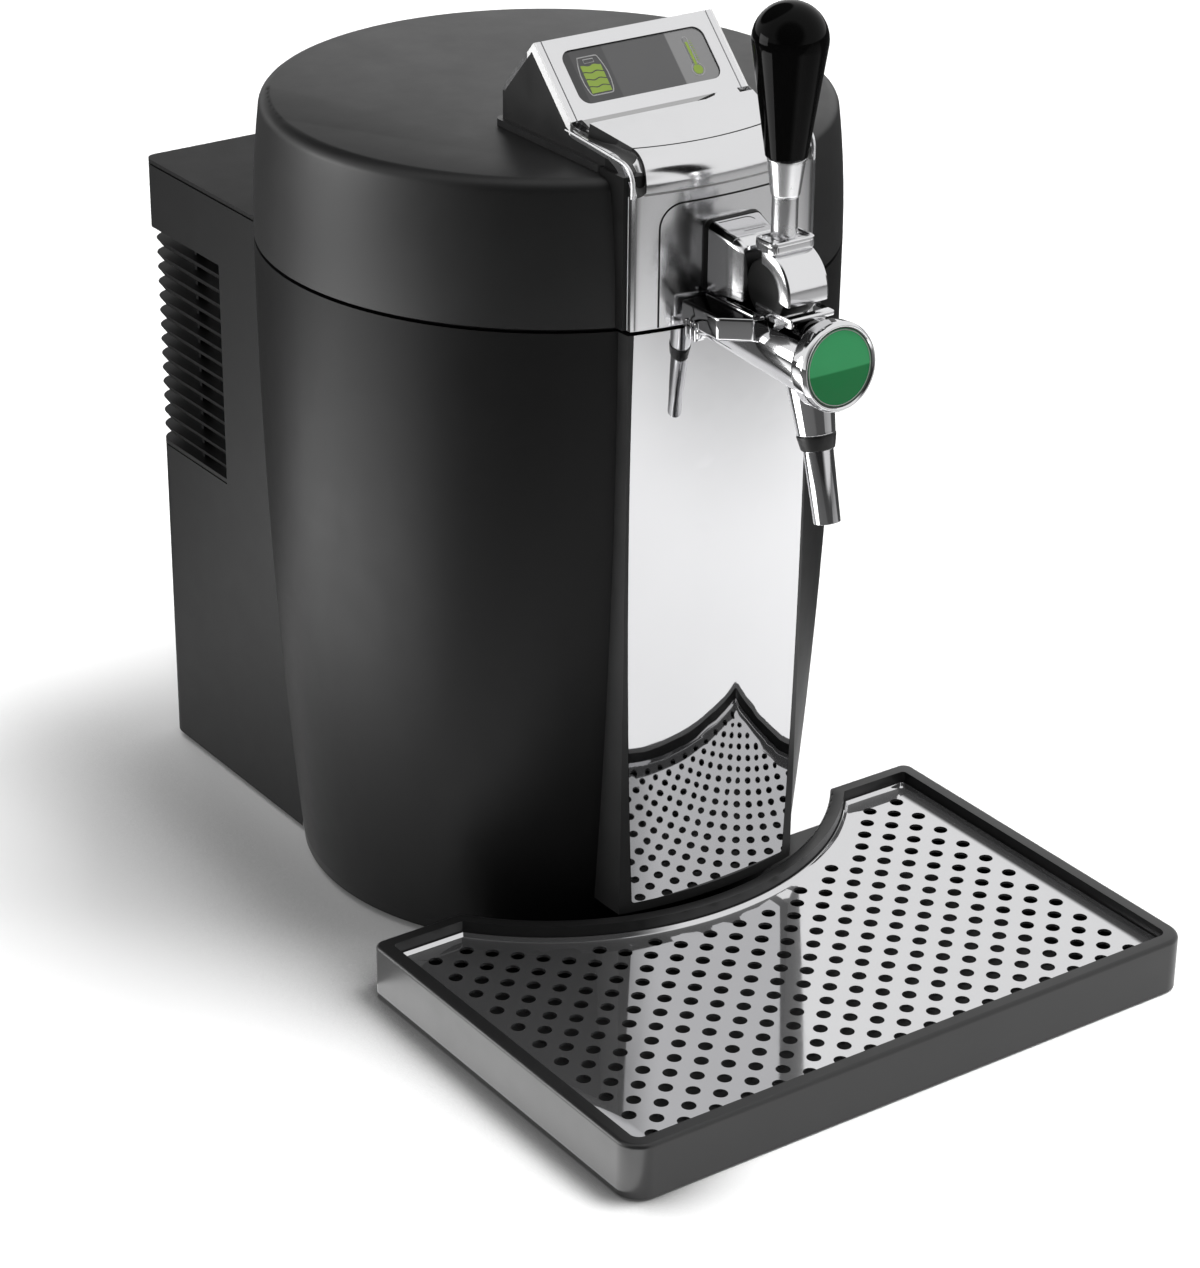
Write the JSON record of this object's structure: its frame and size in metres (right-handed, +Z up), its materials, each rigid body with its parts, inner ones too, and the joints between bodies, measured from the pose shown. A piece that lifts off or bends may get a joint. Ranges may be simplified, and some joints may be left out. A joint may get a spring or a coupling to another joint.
{
  "type": "mini keg beer dispenser",
  "caption": "Countertop mini keg cooler with hinged lid, lever tap and display head, louvred cooling housing and removable drip tray.",
  "frame": {"origin": "middle of the footprint, drum, rear housing and drip tray together, on the surface the feet stand on", "axes": "+Z up, the tap and the drip tray face -Y, +X to the right of someone facing the tap"},
  "size_m": [0.2952, 0.4606, 0.436],
  "materials": {
    "charcoal_plastic": "satin",
    "housing_plastic": "satin",
    "lid_plastic": "satin",
    "tray_plastic": "satin",
    "trim_plastic": "satin",
    "frame_plastic": "satin",
    "chrome": "mirror polished",
    "mirror_steel": "mirror polished",
    "grille_steel": "polished",
    "tube_steel": "polished",
    "grip_black": "high gloss",
    "collar_black": "satin",
    "badge_green": "gloss",
    "lens_grey": "clear tinted",
    "display_grey": "satin",
    "circuit_board": "satin",
    "foam_white": "matt",
    "cup_aluminium": "satin",
    "sink_aluminium": "matt",
    "ceramic_white": "matt",
    "fan_black": "satin",
    "rubber_black": "matt",
    "steel_pin": "satin",
    "liner_grey": "satin",
    "hose_clear": "satin"
  },
  "bodies": {
    "base": {"base_plate": "trim_plastic", "rubber_feet": "rubber_black", "drum_shell": "charcoal_plastic", "cooling_cup": "cup_aluminium", "insulation_jacket": "foam_white", "well_rim": "liner_grey", "front_panel_frame": "frame_plastic", "front_mirror_panel": "mirror_steel", "rear_housing": "housing_plastic", "housing_screws": "steel_pin", "louvre_grille": "housing_plastic", "cold_block": "sink_aluminium", "peltier_module": "ceramic_white", "heat_sink": "sink_aluminium", "fan_frame": "fan_black", "control_board": "circuit_board", "power_supply": "fan_black", "mains_inlet": "trim_plastic", "switch_bezel": "trim_plastic", "hinge_brackets": "trim_plastic", "hinge_pin": "steel_pin"},
    "fan": {"fan_rotor": "fan_black"},
    "rocker": {"power_rocker": "trim_plastic"},
    "lid": {"lid_shell": "lid_plastic", "lid_liner": "liner_grey", "lid_gasket": "rubber_black", "hinge_leaf": "lid_plastic", "keg_coupler": "trim_plastic", "head_cover": "chrome", "head_housing": "trim_plastic", "head_trim": "trim_plastic", "tap_backplate": "chrome", "display_lens": "lens_grey", "display_module": "display_grey", "display_board": "circuit_board", "tap_block": "chrome", "tap_barrel": "chrome", "beer_line": "hose_clear", "badge_ring": "chrome", "badge_disc": "badge_green", "spout_cone": "chrome", "spout_collar": "collar_black", "spout_tube": "tube_steel", "lever_pin": "steel_pin"},
    "lever": {"lever_yoke": "chrome", "lever_stem": "chrome", "lever_ferrule": "chrome", "lever_grip": "grip_black"},
    "plunger": {"pinch_plunger": "steel_pin"},
    "tray": {"drip_tray": "tray_plastic"},
    "grille": {"drip_grille": "grille_steel"}
  },
  "joints": [
    {"name": "lid_hinge", "type": "hinge", "parent": "base", "child": "lid", "pos_m": [0, 0.1792, 0.2994], "axis": [-1, 0, 0], "range_deg": [0, 80]},
    {"name": "tap_lever", "type": "hinge", "parent": "lid", "child": "lever", "pos_m": [0, -0.1194, 0.32], "axis": [1, 0, 0], "range_deg": [0, 45]},
    {"name": "pinch_slide", "type": "slide", "parent": "lid", "child": "plunger", "axis": [0, 0, 1], "range_m": [0, 0.0025]},
    {"name": "fan_spin", "type": "hinge", "parent": "base", "child": "fan", "pos_m": [0, 0.2036, 0.2085], "axis": [0, 1, 0], "continuous": true},
    {"name": "power_switch", "type": "hinge", "parent": "base", "child": "rocker", "pos_m": [0.062, 0.2233, 0.044], "axis": [1, 0, 0], "range_deg": [0, 12]},
    {"name": "tray_slide", "type": "slide", "parent": "base", "child": "tray", "axis": [0, -1, 0], "range_m": [0, 0.12]},
    {"name": "grille_lift", "type": "slide", "parent": "tray", "child": "grille", "axis": [0, 0, 1], "range_m": [0, 0.04]}
  ],
  "couplings": [
    {"joint": "pinch_slide", "follows": "tap_lever", "m_per_rad": 0.003183}
  ]
}
